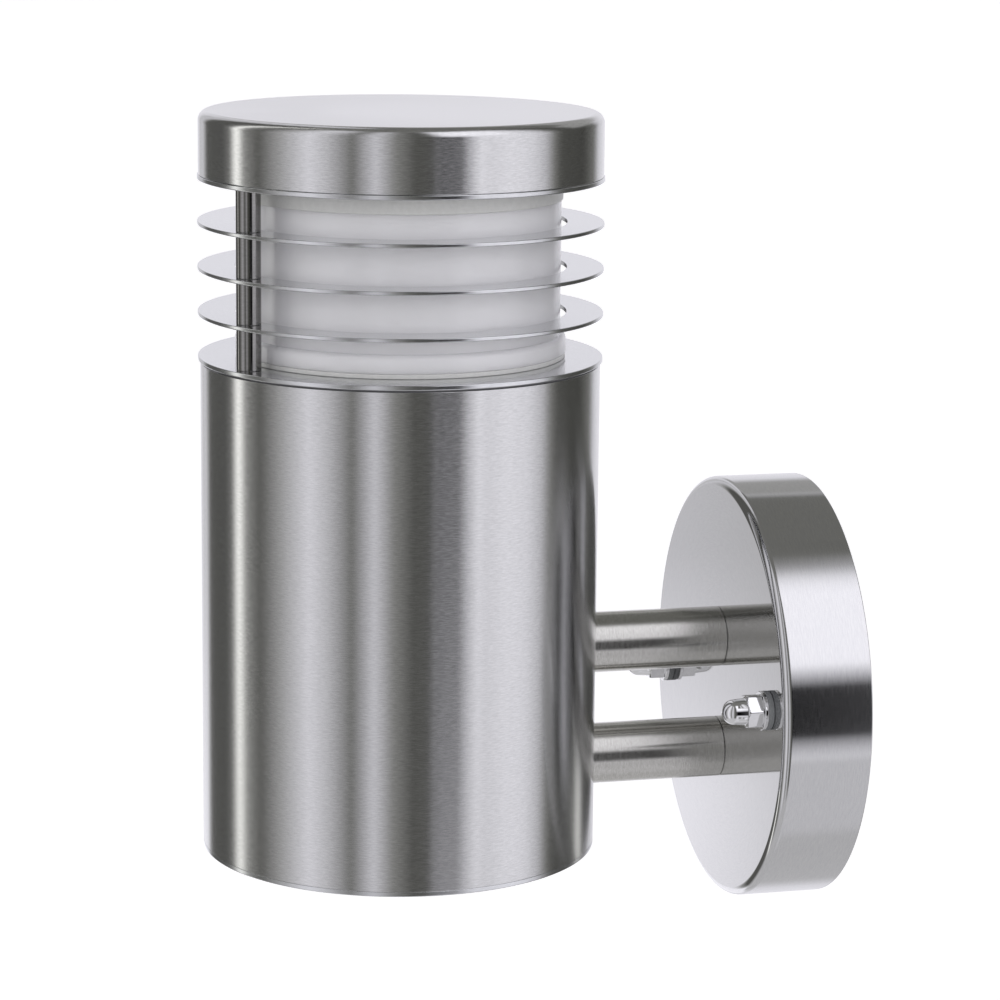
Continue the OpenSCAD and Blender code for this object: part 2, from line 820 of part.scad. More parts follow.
function holder_route(side) = [
    [side * way_spacing, -way_out, -block_h / 2 + wire_in_block],
    [side * way_spacing, -way_out, -block_h / 2],
    [side * way_spacing, -way_out, -block_h / 2 - bend / 4],
    [side * (way_spacing + wire_row) / 2, -way_out - bend / 2, high_wires_z + bend / 2],
    [side * wire_row, -pipe_start + bend / 5, high_wires_z],
    [side * wire_row, -pipe_start - bend, high_wires_z],
    [side * wire_row, -pipe_end + bend, high_wires_z],
    [side * wire_row, -pipe_end - bend / 2, high_wires_z],
    [side * (wire_row + holder_wire_x) / 3, -pipe_end - 2 * bend, high_wires_z + bend / 2],
    [side * (holder_wire_x - bend / 3), -reach + holder_wire_before_axis + bend,
        holder_wire_end_z - 2 * bend],
    [side * holder_wire_x, -reach + holder_wire_before_axis, holder_wire_end_z - bend],
    [side * holder_wire_x, -reach + holder_wire_before_axis, holder_wire_end_z - bend / 2],
    [side * holder_wire_x, -reach + holder_wire_before_axis, holder_wire_end_z]
];

earth_route = [
    [0, -way_out, -block_h / 2 + wire_in_block],
    [0, -way_out, -block_h / 2],
    [0, -way_out, -block_h / 2 - bend / 4],
    [0, -way_out - bend / 2, low_wire_z + bend / 2],
    [0, -pipe_start + bend / 5, low_wire_z],
    [0, -pipe_start - bend, low_wire_z],
    [0, -pipe_end + bend, low_wire_z],
    [0, -pipe_end - bush_t - wire_d / 2, low_wire_z],
    [0, -(pipe_end + lug_wire_out - lug_hold) / 2, (low_wire_z + lug_wire_z) / 2],
    [0, -lug_wire_out + 2 * lug_hold, lug_wire_z],
    [0, -lug_wire_out + lug_hold, lug_wire_z],
    [0, -lug_wire_out, lug_wire_z]
];

// the point at share t of the way from b to c, on a curve that also heeds a and d
function curve_point(a, b, c, d, t) =
    b + (c - a) / 2 * t
    + (2 * a - 5 * b + 4 * c - d) / 2 * pow(t, 2)
    + (3 * b - a - 3 * c + d) / 2 * pow(t, 3);

function smooth_route(points) = concat(
    [for (i = [0:len(points) - 2], k = [0:route_steps - 1])
        curve_point(points[max(i - 1, 0)], points[i], points[i + 1],
            points[min(i + 2, len(points) - 1)], k / route_steps)],
    [points[len(points) - 1]]
);

function along(path, i) = let (d = path[min(i + 1, len(path) - 1)] - path[max(i - 1, 0)]) d / norm(d);

function sideways(direction) = let (s = [1, 0, 0] - direction * direction[0]) s / norm(s);

module wire(points) {
    path = smooth_route(points);
    last = len(path) - 1;
    rings = [for (i = [0:last], k = [0:wire_sides - 1])
        let (t = along(path, i), s = sideways(t), u = cross(t, s), a = 360 * k / wire_sides)
        path[i] + wire_d / 2 * (cos(a) * s + sin(a) * u)];
    walls = [for (i = [0:last - 1], k = [0:wire_sides - 1])
        let (a = i * wire_sides + k, b = i * wire_sides + (k + 1) % wire_sides)
        each [[a, b + wire_sides, b], [a, a + wire_sides, b + wire_sides]]];
    ends = [for (k = [1:wire_sides - 2])
        each [[0, k, k + 1], [last * wire_sides, last * wire_sides + k + 1, last * wire_sides + k]]];
    polyhedron(rings, concat(walls, ends));
}

module live_wire() {
    color("saddlebrown") wire(holder_route(-1));
}

module neutral_wire() {
    color("royalblue") wire(holder_route(1));
}

module earth_wire() {
    color("limegreen") wire(earth_route);
}

wall_bracket();
bracket_studs();
wall_gasket();
wall_plate();
sealing_washers();
plain_washers();
dome_nuts();
terminal_block();
terminal_screws();
block_screw();
lower_arm();
upper_arm();
arm_pipes();
plate_nuts();
body_nuts();
wire_bushes();
body_tube();
base_plate();
lamp_bracket();
earth_lug();
earth_screw();
holder_pipe();
holder_nuts();
lampholder();
screw_shell();
centre_contact();
lamp_cap();
lamp_contact();
lamp_insulator();
lamp_housing();
lamp_board();
lamp_dome();
head_gasket();
plug_ring();
top_plate();
louvre_ring(0);  // louvre_ring_1
louvre_ring(1);  // louvre_ring_2
louvre_ring(2);  // louvre_ring_3
spacers(0);  // spacers_1
spacers(1);  // spacers_2
spacers(2);  // spacers_3
spacers(3);  // spacers_4
tie_rods();
rod_nuts();
foot_gasket();
diffuser();
upper_gasket();
cap_plate();
cap();
lock_screw();
live_wire();
neutral_wire();
earth_wire();
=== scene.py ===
# %% [markdown]
# # A tube wall light in stainless steel
#
# The object is a round outdoor wall light: a brushed body tube on two short arms, a louvred head round an
# opal diffuser, and a polished wall plate. The mechanical model is already there as a fixed frame of
# solids. This notebook dresses it: each visible part becomes a smooth surface of its own with a real
# finish, and the light tent that such metal is photographed in is built round it. Metal shows what stands
# round it and little else, so the tent matters as much as the steel.

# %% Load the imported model
import json
from math import cos, pi, radians, sin

import bpy
import numpy as np
from mathutils import Matrix, Vector


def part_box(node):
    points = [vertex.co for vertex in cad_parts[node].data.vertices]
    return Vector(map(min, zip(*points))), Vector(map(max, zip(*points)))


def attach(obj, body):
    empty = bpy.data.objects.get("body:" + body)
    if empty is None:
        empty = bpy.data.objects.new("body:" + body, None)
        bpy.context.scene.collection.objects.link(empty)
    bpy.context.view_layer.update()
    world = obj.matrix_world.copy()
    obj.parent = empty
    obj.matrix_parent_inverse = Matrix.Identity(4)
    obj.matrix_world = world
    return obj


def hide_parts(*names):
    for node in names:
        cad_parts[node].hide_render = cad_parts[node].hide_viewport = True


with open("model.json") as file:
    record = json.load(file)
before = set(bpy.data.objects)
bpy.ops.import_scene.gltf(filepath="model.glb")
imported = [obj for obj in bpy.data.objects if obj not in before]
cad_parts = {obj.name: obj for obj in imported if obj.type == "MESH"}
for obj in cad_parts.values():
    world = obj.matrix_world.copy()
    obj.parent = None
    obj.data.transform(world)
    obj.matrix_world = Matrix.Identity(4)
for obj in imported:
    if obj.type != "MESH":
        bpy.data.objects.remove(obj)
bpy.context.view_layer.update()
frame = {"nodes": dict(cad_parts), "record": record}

# %% [markdown]
# ## The camera
#
# The photographer stood to the right of the light with a long lens, a little above it. A long lens keeps
# the ellipses of cap and tube flat. The place and the angles below were found by matching the outlines of
# tube, cap, louvre and wall plate. A camera looks along its own -Z, so its matrix is built from three
# directions: right, up, and away from the scene.

# %% Camera
# The place is in metres and the sensor in millimetres. The focal length is in pixels of a 1000 pixel
# picture.
PICTURE = 1000
FOCAL_PIXELS = 3454.8
SENSOR = 36.0
CAMERA_PLACE = (0.84936, -0.29916, 0.22681)
CAMERA_YAW, CAMERA_PITCH, CAMERA_ROLL = radians(75.753), radians(11.251), radians(0.579)

forward = Vector((
    -sin(CAMERA_YAW) * cos(CAMERA_PITCH),
    cos(CAMERA_YAW) * cos(CAMERA_PITCH),
    -sin(CAMERA_PITCH)))
level_right = Vector((cos(CAMERA_YAW), sin(CAMERA_YAW), 0))
level_up = level_right.cross(forward)
camera_right = cos(CAMERA_ROLL) * level_right + sin(CAMERA_ROLL) * level_up
camera_up = cos(CAMERA_ROLL) * level_up - sin(CAMERA_ROLL) * level_right
camera_axes = Matrix((camera_right, camera_up, -forward)).transposed()

camera = bpy.data.objects.new("camera", bpy.data.cameras.new("camera"))
bpy.context.scene.collection.objects.link(camera)
camera.data.sensor_width = SENSOR
camera.data.lens = FOCAL_PIXELS / PICTURE * SENSOR
camera.matrix_world = Matrix.Translation(CAMERA_PLACE) @ camera_axes.to_4x4()
bpy.context.scene.camera = camera
print(f"lens {camera.data.lens:.1f} mm")

# %% [markdown]
# ## Helpers for surfaces
#
# Sheet metal parts like these are nearly all turned shapes: an outline carried round an axis. Blender's
# own cylinders would need bevels, and a bevel on a shaded cylinder smears its shading over the long
# walls. So each outline here gets a small arc at every corner, and the exact direction of the metal at
# each point is stored with the mesh. Flat walls then stay flat in reflections, and edges catch a thin
# line of light as real ones do.

# %% Sizes in millimetres
# Columns are the steps of a full turn: many for the large rounds and fewer for washers and spacers.
MM = 0.001
ROUND = 192
SMALL_ROUND = 64


def box_mm(node):
    """The lowest and highest corner of a solid, in millimetres."""
    low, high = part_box(node)
    return np.round(np.array(low) / MM, 2), np.round(np.array(high) / MM, 2)


def heights(node):
    """Where a solid starts and ends along Z, in millimetres."""
    low, high = box_mm(node)
    return float(low[2]), float(high[2])


def off_wall(node):
    """How far from the wall a solid starts and ends, in millimetres. The wall is the plane y = 0."""
    low, high = box_mm(node)
    return float(-high[1]), float(-low[1])


def radius_of(node):
    """The outer radius of a round solid whose axis crosses x = 0."""
    return float(box_mm(node)[1][0])


tube_low, tube_high = box_mm("body_tube")
LAMP_AXIS = np.array([0.0, (tube_low[1] + tube_high[1]) / 2, 0.0])
TUBE_R = radius_of("body_tube")
DISC_R = radius_of("top_plate")
print("lamp axis at y =", LAMP_AXIS[1], "mm, tube radius", TUBE_R, "mm, plates and rings", DISC_R, "mm")

# %% Outlines with rounded corners
ARC_STEPS = 5


def rounded(corners, radii, closed=True, steps=ARC_STEPS):
    """The outline through these corners, each cut by an arc that touches both of its sides.

    An arc starts at corner - radius * tan(turn / 2) along the side that comes in. Its points lie at
    centre + radius * normal where the outline turns left and at centre - radius * normal where it
    turns right, while the direction goes from one side to the next. The outline runs
    counter-clockwise, so the outside is on its right. It returns the points and the outward normal at
    each.
    """
    corners = np.asarray(corners, float)
    radii = np.broadcast_to(np.asarray(radii, float), (len(corners),))
    before = corners - np.roll(corners, 1, 0)
    after = np.roll(corners, -1, 0) - corners
    if not closed:
        before[0], after[-1] = after[0], before[-1]
    before /= np.linalg.norm(before, axis=1, keepdims=True)
    after /= np.linalg.norm(after, axis=1, keepdims=True)
    turn = np.arctan2(before[:, 0] * after[:, 1] - before[:, 1] * after[:, 0], (before * after).sum(1))
    side = np.sign(turn)
    start = corners - before * (radii * np.tan(np.abs(turn) / 2))[:, None]
    centre = start + (radii * side)[:, None] * np.stack([-before[:, 1], before[:, 0]], 1)
    share = np.linspace(0, 1, steps + 1)
    angle = np.arctan2(before[:, 1], before[:, 0])[:, None] + turn[:, None] * share
    normal = np.stack([np.sin(angle), -np.cos(angle)], 2)
    points = centre[:, None] + (radii * side)[:, None, None] * normal
    keep = np.ones(points.shape[:2], bool)
    if not closed:
        keep[0, 1:] = keep[-1, 1:] = False
        points[0], points[-1] = corners[0], corners[-1]
    return points[keep], normal[keep]


def annulus(inner, outer, low, high):
    """The four corners of a ring's section: lower inner, lower outer, upper outer and upper inner."""
    return [(inner, low), (outer, low), (outer, high), (inner, high)]


def cup(outer, wall, low, high):
    """The half section of a cup with its mouth at low. It runs from the middle under the roof down the
    inside, round the mouth, up the outside and over the top to the middle."""
    return [
        (0, high - wall), (outer - wall, high - wall), (outer - wall, low),
        (outer, low), (outer, high), (0, high)]


print("a square with round corners has", len(rounded(annulus(1, 2, 0, 1), 0.1)[0]), "points")

# %% Turned surfaces
# Each axis comes with the two directions across it: the lamp's axis upwards, and the wall plate's out of
# the wall.
UP = (np.array([0.0, 1.0, 0.0]), np.array([-1.0, 0.0, 0.0]), np.array([0.0, 0.0, 1.0]))
OUT_OF_WALL = (np.array([1.0, 0.0, 0.0]), np.array([0.0, 0.0, 1.0]), np.array([0.0, -1.0, 0.0]))
SAME_POINT = 1e-9


def circle(columns, frame_of):
    """The angles of a full turn, and the direction away from the axis at each: first cos a + second
    sin a."""
    angle = 2 * pi * np.arange(columns) / columns
    first, second, _ = frame_of
    return angle, np.cos(angle)[:, None] * first + np.sin(angle)[:, None] * second


def turned(corners, radii, centre=LAMP_AXIS, frame_of=UP, closed=True, columns=ROUND, steps=ARC_STEPS):
    """An outline carried round an axis: point = centre + r * (direction at a) + height * axis, for all
    angles a.

    With the points and normals it gives each point's grain: the length along the outline, the two
    coordinates of its angle on the piece's largest circle, and how flat it lies, 1 on a face across
    the axis and 0 on a wall along it.
    """
    line, line_normal = rounded(corners, radii, closed, steps)
    angle, radial = circle(columns, frame_of)
    axis = frame_of[2]
    points = centre + line[:, None, :1] * radial + line[:, None, 1:] * axis
    normals = line_normal[:, None, :1] * radial + line_normal[:, None, 1:] * axis
    around = np.abs(line[:, 0]).max()
    length = np.concatenate([[0], np.linalg.norm(np.diff(line, axis=0), axis=1).cumsum()])
    flat = np.abs(line_normal[:, 1])[:, None]
    grain = np.stack(np.broadcast_arrays(
        length[:, None], around * np.cos(angle)[None], around * np.sin(angle)[None], flat), 2)
    return points, normals, grain, closed


print("a full turn has", ROUND, "columns, and", SMALL_ROUND, "on a small piece")

# %% From surfaces to a piece
made = []


def faces_of(points, closed):
    """Four-sided faces between neighbouring rows and columns. The columns go round, and so do the rows
    of a closed outline. A first or last row that is one point becomes a pole, and its faces have three
    sides."""
    rows, columns = points.shape[:2]
    index = np.arange(rows * columns).reshape(rows, columns)
    if not closed:
        for end in (0, -1):
            if np.ptp(points[end], axis=0).max() < SAME_POINT:
                index[end] = index[end, 0]
    upper = np.roll(index, -1, 0) if closed else index[1:]
    lower = index if closed else index[:-1]
    quads = np.stack([lower, np.roll(lower, -1, 1), np.roll(upper, -1, 1), upper], 2).reshape(-1, 4)
    low_pole, high_pole = quads[:, 0] == quads[:, 1], quads[:, 2] == quads[:, 3]
    plain = ~(low_pole | high_pole)
    return quads[plain].tolist() + quads[low_pole][:, [0, 2, 3]].tolist() + quads[high_pole][:, :3].tolist()


def unwrapped(grain, sizes):
    """Two flat coordinates for each corner of each face: the distance along the outline in metres, and
    the angle round the axis in turns. Within a face the angle never jumps from a full turn back to 0."""
    angle = np.arctan2(grain[:, 2], grain[:, 1]) / (2 * pi)
    first = np.repeat(np.concatenate([[0], sizes.cumsum()[:-1]]), sizes)
    angle = angle - np.round(angle - angle[first])
    return np.stack([grain[:, 0] * MM, angle], 1)


def build(name, skins, slot, body, replaced):
    """Makes one mesh of one or more surfaces, in metres, with its exact normals and its grain. It also
    hangs the piece on its body, gives it the finish of its slot and hides the solids that it stands for."""
    points = np.concatenate([skin[0].reshape(-1, 3) for skin in skins]) * MM
    normals = np.concatenate([skin[1].reshape(-1, 3) for skin in skins])
    grain = np.concatenate([skin[2].reshape(-1, 4) for skin in skins])
    faces, start = [], 0
    for skin in skins:
        faces += [[start + corner for corner in face] for face in faces_of(skin[0], skin[3])]
        start += skin[0].shape[0] * skin[0].shape[1]
    used, corners = np.unique(np.concatenate([np.array(face) for face in faces]), return_inverse=True)
    sizes = np.array([len(face) for face in faces])
    faces = np.split(corners.ravel(), sizes.cumsum()[:-1])

    mesh = bpy.data.meshes.new(name)
    mesh.from_pydata(points[used].tolist(), [], [face.tolist() for face in faces])
    mesh.polygons.foreach_set("use_smooth", np.ones(len(mesh.polygons), bool))
    attribute = mesh.attributes.new("grain", "FLOAT_VECTOR", "POINT")
    attribute.data.foreach_set("vector", grain[used, :3].astype(np.float32).ravel())
    attribute = mesh.attributes.new("flat", "FLOAT", "POINT")
    attribute.data.foreach_set("value", grain[used, 3].astype(np.float32))
    layer = mesh.uv_layers.new(name="along")
    loops = np.zeros(len(mesh.loops), np.int32)
    mesh.loops.foreach_get("vertex_index", loops)
    layer.uv.foreach_set("vector", unwrapped(grain[used][loops], sizes).astype(np.float32).ravel())
    mesh.update()
    mesh.normals_split_custom_set_from_vertices(normals[used].tolist())

    piece = bpy.data.objects.new(name, mesh)
    bpy.context.scene.collection.objects.link(piece)
    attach(piece, body)
    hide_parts(*replaced)
    piece.data.materials.append(finishes[slot])
    made.append((name, len(mesh.polygons)))
    return piece


print("helpers ready")

# %% [markdown]
# ## Finishes
#
# Everything that shows on this light is stainless steel, apart from the opal diffuser and a few grey
# gaskets. Stainless reflects about 60 percent of the light with hardly any colour. What tells the parts
# apart is the way each one was worked: the tube was brushed on a lathe with a belt, the rings were
# punched from satin sheet, the washers and dome nuts were polished. Brushing cuts fine grooves round the
# part, and light spreads across grooves, never along them. The Principled shader does that with
# Anisotropic and a Tangent, so the long soft streaks need no painted picture.

# %% Colour and node helpers
finishes = {}


def linear(hexcode):
    """An sRGB hex colour as the linear numbers that a shader works with, by the sRGB standard's own
    curve."""
    values = np.array([int(hexcode[i : i + 2], 16) for i in (1, 3, 5)]) / 255
    values = np.where(values <= 0.04045, values / 12.92, ((values + 0.055) / 1.055) ** 2.4)
    return (*values, 1.0)


def add(tree, kind, settings={}, links={}):
    """Adds a node. A setting is an input's value where the node has an input of that name or number,
    and otherwise one of the node's own properties. A link joins an input to another node's output."""
    node = tree.nodes.new("ShaderNode" + kind)
    inputs = {socket.name: socket for socket in reversed(node.inputs)}
    for name, value in settings.items():
        if isinstance(name, int):
            node.inputs[name].default_value = value
        elif name in inputs:
            inputs[name].default_value = value
        else:
            setattr(node, name, value)
    for name, socket in links.items():
        tree.links.new(socket, node.inputs[name] if isinstance(name, int) else inputs[name])
    return node


def join(tree, socket, shader, name):
    """Joins a socket to one of the shader's inputs."""
    tree.links.new(socket, shader.inputs[name])


def material(name, settings):
    """A new material with one Principled shader, whose plain values are set on its own sockets."""
    made_material = bpy.data.materials.new(name)
    made_material.use_nodes = True
    tree = made_material.node_tree
    tree.nodes.clear()
    shader = add(tree, "BsdfPrincipled", settings)
    add(tree, "OutputMaterial", {}, {"Surface": shader.outputs[0]})
    return made_material, tree, shader


# Most of a noise lies between these two values, so a pattern runs its full course between them.
NOISE_LOW = 0.3
NOISE_HIGH = 0.7


def between(tree, socket, low, high, start=NOISE_LOW, end=NOISE_HIGH):
    """Turns a pattern that runs from start to end into values from low to high."""
    return add(tree, "MapRange", {"From Min": start, "From Max": end, "To Min": low, "To Max": high},
               {"Value": socket}).outputs["Result"]


def blend(tree, share, dark, light):
    """A colour that moves from dark to light as a share goes from 0 to 1."""
    mixed = add(tree, "Mix", {"data_type": "RGBA", 6: linear(dark), 7: linear(light)}, {0: share})
    return mixed.outputs[2]


print(f"half grey, #808080, is {linear('#808080')[0]:.3f} of full light")

# %% Brushed steel
# The two finishes of a brushed piece meet at its edges: its walls run along the axis and its faces lie
# across it. A groove makes the shine 8 percent sharper or duller than the mean, and on faces its relief
# is a tenth as deep.
GROOVE_SHINE = 0.08
FACE_RELIEF = 0.1


def grooves(tree, width_mm, length_mm):
    """Noise that is stretched into lines: its cells are as wide as a groove across the grain and as
    long as a belt's scratch along it. It reads the grain attribute, so the lines go round every turned
    piece without a seam."""
    grain = add(tree, "Attribute", {"attribute_name": "grain"})
    scaled = add(tree, "Mapping", {"Scale": (1 / width_mm, 1 / length_mm, 1 / length_mm)},
                 {"Vector": grain.outputs["Vector"]})
    noise = add(tree, "TexNoise", {"Scale": 1.0, "Detail": 2.0, "Roughness": 0.6},
                {"Vector": scaled.outputs["Vector"]})
    return noise.outputs["Fac"]


def brushed(name, dark, light, wall, face, groove_mm, scratch_mm, bump_mm):
    """Bare steel brushed round its axis. The grooves change colour, roughness and height together.
    Wall and face each give a roughness and how far the shine is drawn out across the grooves: value =
    wall + (face - wall) * flat, and the roughness is also multiplied by 1 - 0.08 to 1 + 0.08 as the
    grooves go."""
    steel, tree, shader = material(name, {"Metallic": 1.0})
    lines = grooves(tree, groove_mm, scratch_mm)
    flat = add(tree, "Attribute", {"attribute_name": "flat"}).outputs["Fac"]
    join(tree, blend(tree, between(tree, lines, 0, 1), dark, light), shader, "Base Color")
    rough = add(tree, "Math", {"operation": "MULTIPLY"}, {
        0: between(tree, flat, wall[0], face[0], 0, 1),
        1: between(tree, lines, 1 - GROOVE_SHINE, 1 + GROOVE_SHINE)})
    join(tree, rough.outputs[0], shader, "Roughness")
    join(tree, between(tree, flat, wall[1], face[1], 0, 1), shader, "Anisotropic")
    tangent = add(tree, "Tangent", {"direction_type": "UV_MAP", "uv_map": "along"})
    join(tree, tangent.outputs[0], shader, "Tangent")
    bump = add(tree, "Bump", {"Distance": bump_mm * MM},
               {"Height": lines, "Strength": between(tree, flat, 1.0, FACE_RELIEF, 0, 1)})
    join(tree, bump.outputs[0], shader, "Normal")
    finishes[name] = steel


# A belt of about 240 grit cuts grooves some 0.05 mm wide and a few millimetres long. They are drawn 0.2
# to 0.25 mm wide, because a pixel is about 0.25 mm here and finer ones wouldn't show.

# Body tube and cap: brushed with a fine belt, so their shine spreads into streaks along the axis. The
# cap's top is finished finer.
brushed("brushed_stainless", "#C9C9C9", "#D9D9D9", wall=(0.195, 1.0), face=(0.16, 0.3),
        groove_mm=0.25, scratch_mm=1.6, bump_mm=0.003)
# Wall plate: drawn sheet, its face polished nearly to a mirror and its rim with a light brush, so that
# the face shows clear pictures and the rim soft ones.
brushed("plate_stainless", "#CFCFD0", "#D7D7D7", wall=(0.12, 0.6), face=(0.06, 0.0),
        groove_mm=0.25, scratch_mm=2.4, bump_mm=0.0012)
# Arms: thick-walled tube with a coarse brush, a little darker and warmer, which looks nearly matt.
brushed("arm_stainless", "#C1C0BB", "#D3D2CE", wall=(0.22, 0.75), face=(0.2, 0.5),
        groove_mm=0.25, scratch_mm=1.2, bump_mm=0.003)
# Louvre rings, plates and base plate: punched from satin sheet and only lightly brushed, with a bright
# cut edge.
brushed("satin_stainless", "#D0D1D3", "#DCDDDE", wall=(0.2, 0.5), face=(0.14, 0.5),
        groove_mm=0.25, scratch_mm=2, bump_mm=0.001)
# Posts of the louvre: turned on a lathe and glossy. Their colour is painted shade: it is darker than the
# sheet parts to stand for the shade that the cap and rings cast on them.
brushed("turned_stainless", "#8A8987", "#979694", wall=(0.11, 0.8), face=(0.2, 0.5),
        groove_mm=0.2, scratch_mm=1.2, bump_mm=0.001)
print("brushed finishes:", sorted(finishes))

# %% [markdown]
# ## Plain metals, rubber, porcelain and plastics
#
# The small parts have no direction in their surface. Plating, castings, mouldings and glazes all have a
# fine random grain instead, so one noise moves their colour, their roughness and their relief together.
# Painted pictures would need a map for each solid, and noise on the object's own coordinates needs none.

# %% Finishes with a fine random grain
METAL = {"Metallic": 1.0}
GLAZE = {"Coat Weight": 0.5, "Coat Roughness": 0.05}


def speckled(name, dark, light, rough, grain_mm, bump_mm, settings={}):
    """A surface with a random grain. The noise's scale is one over the grain's size in metres, and
    rough gives the least and the greatest roughness."""
    made_material, tree, shader = material(name, settings)
    place = add(tree, "TexCoord")
    noise = add(tree, "TexNoise", {"Scale": 1 / (grain_mm * MM), "Detail": 3.0, "Roughness": 0.6},
                {"Vector": place.outputs["Object"]})
    pattern = noise.outputs["Fac"]
    join(tree, blend(tree, between(tree, pattern, 0, 1), dark, light), shader, "Base Color")
    join(tree, between(tree, pattern, *rough), shader, "Roughness")
    bump = add(tree, "Bump", {"Strength": 1.0, "Distance": bump_mm * MM}, {"Height": pattern})
    join(tree, bump.outputs[0], shader, "Normal")
    finishes[name] = made_material


# Real grain is often finer than 0.1 mm. Where it is, it is drawn 0.3 to 0.8 mm wide, or it wouldn't show.

# Washers and dome nuts: tumbled to a mirror, which leaves waves over a millimetre wide and small sharp
# pictures.
speckled("polished_stainless", "#E4E4E5", "#ECECED", (0.03, 0.06), 1.5, 0.0003, METAL)
# Bracket, nuts, rods and screws: steel under bright zinc, whose crystals make the shine cloudy and
# bluish.
speckled("zinc_plated_steel", "#BFC3C8", "#D2D5D9", (0.3, 0.45), 0.6, 0.002, METAL)
# Clamping screws, earth lug and centre contact: bare brass, yellow and a little dulled by the air.
speckled("brass", "#C9A04E", "#DDB868", (0.25, 0.4), 0.5, 0.002, METAL)
# Screw shell and the lamp's cap: brass under nickel, which is smoother and has a warm grey.
speckled("nickelled_brass", "#CBC3B2", "#DAD3C4", (0.15, 0.28), 0.8, 0.001, METAL)
# Plug ring and the lamp's board: cast aluminium, light and dull, with the fine relief of the mould.
speckled("cast_aluminium", "#C2C4C6", "#D6D8DA", (0.35, 0.5), 0.5, 0.003, METAL)
# Gaskets under the head and in the wall plate: black sheet rubber. Dust and wear leave it a dark grey,
# and it is drawn as that, so the seam under the head stays a faint line.
speckled("black_rubber", "#4C4C4E", "#58585A", (0.5, 0.65), 0.3, 0.01)
# Sealing washers: grey rubber, moulded matt.
speckled("grey_rubber", "#747678", "#828486", (0.5, 0.65), 0.3, 0.01)
# Diffuser's gaskets: moulded silicone, pale grey with a soft shine and shallow waves.
speckled("clear_silicone", "#D2D2D0", "#DADAD8", (0.3, 0.4), 1.5, 0.002)
# Lampholder: porcelain, whose glaze lies in slow waves under a sharp gloss.
speckled("white_porcelain", "#E6E3DB", "#EEECE6", (0.12, 0.2), 1.5, 0.003, GLAZE)
# Terminal block, bushes and the lamp's housing: moulded plastic with the even matt of an etched mould.
speckled("white_plastic", "#E2E2DF", "#ECECEA", (0.4, 0.5), 0.4, 0.004)
# Insulator in the lamp's cap: black glass, poured smooth.
speckled("black_glass", "#08080A", "#101012", (0.04, 0.08), 2.0, 0.001)
# Sheaths of the live and neutral wires: extruded plastic, brown and blue, with a dull shine.
speckled("live_sheath", "#5A3018", "#683A20", (0.35, 0.45), 0.4, 0.003)
speckled("neutral_sheath", "#2A5FA8", "#3A70B8", (0.35, 0.45), 0.4, 0.003)
print("finishes so far:", len(finishes))

# %% Sheath of the earth wire
STRIPE_EDGE_MM = 0.1


def earth_sheath():
    """Green extruded sheath with a yellow stripe on its side where x is over 0. The two colours meet
    within a tenth of a millimetre on either side."""
    sheath, tree, shader = material("earth_sheath", {"Roughness": 0.4})
    place = add(tree, "TexCoord")
    split = add(tree, "SeparateXYZ", {}, {"Vector": place.outputs["Object"]})
    stripe = between(tree, split.outputs["X"], 0, 1, -STRIPE_EDGE_MM * MM, STRIPE_EDGE_MM * MM)
    join(tree, blend(tree, stripe, "#3E8A2A", "#D8C32E"), shader, "Base Color")
    finishes["earth_sheath"] = sheath


earth_sheath()
print("the stripe's edge is", 2 * STRIPE_EDGE_MM, "mm wide")

# %% [markdown]
# ## Opal plastic
#
# The diffuser is extruded acrylic with a white pigment. Light sinks a few millimetres in, spreads and
# comes out again, which softens every shadow on it, and its outer skin is glossy. A plain white paint
# would show hard shadows of the rings. Subsurface scattering in the Principled shader gives the soft
# ones.

# %% Opal plastic
ACRYLIC_IOR = 1.49
LIGHT_DEPTH_MM = 6
WAVE_MM = 25
WAVE_RELIEF_MM = 0.02


def opal_plastic():
    """Opal acrylic. Light travels about 6 mm inside it, and slow waves from its extrusion, 25 mm long
    and 0.02 mm deep, show in its gloss."""
    depth = LIGHT_DEPTH_MM * MM
    opal, tree, shader = material("opal_plastic", {
        "IOR": ACRYLIC_IOR, "Subsurface Weight": 0.8, "Subsurface Radius": (depth, depth, depth),
        "Subsurface Scale": 1.0})
    place = add(tree, "TexCoord")
    noise = add(tree, "TexNoise", {"Scale": 1 / (WAVE_MM * MM), "Detail": 2.0},
                {"Vector": place.outputs["Object"]})
    waves = noise.outputs["Fac"]
    join(tree, blend(tree, between(tree, waves, 0, 1), "#ECEBEF", "#F0EFF3"), shader, "Base Color")
    join(tree, between(tree, waves, 0.08, 0.13), shader, "Roughness")
    bump = add(tree, "Bump", {"Strength": 1.0, "Distance": WAVE_RELIEF_MM * MM}, {"Height": waves})
    join(tree, bump.outputs[0], shader, "Normal")
    finishes["opal_plastic"] = opal


opal_plastic()
print("finishes in all:", len(finishes))

# %% [markdown]
# ## Solids that keep their own shape
#
# The bracket, nuts, pipes, studs, lampholder and wires sit behind the wall plate or inside the tube.
# Their solids are right as they are, so they only get their finish. The record says which slot each one
# has.

# %% Finishes on the solids
for subpart in frame["record"]["subparts"]:
    solid = frame["nodes"][subpart["node"]]
    solid.data.materials.clear()
    solid.data.materials.append(finishes[subpart["material_slot"]])

# %% [markdown]
# ## Body tube and base plate
#
# The body is a cut length of 1.5 mm tube. A saw leaves a sharp edge that is then broken with a file,
# about 0.15 mm. The base plate closes the lower end with its rim inside the tube, so only its edge shows
# as a thin line. Both are turned outlines: a ring's section for the tube, and a half section that starts
# and ends on the axis for the plate.

# %% Body tube and base plate
SAWN_EDGE = 0.15
TUBE_WALL = 1.5
BASE_T = 1.2
BASE_RIM_WALL = 1.5
FIT = 0.05
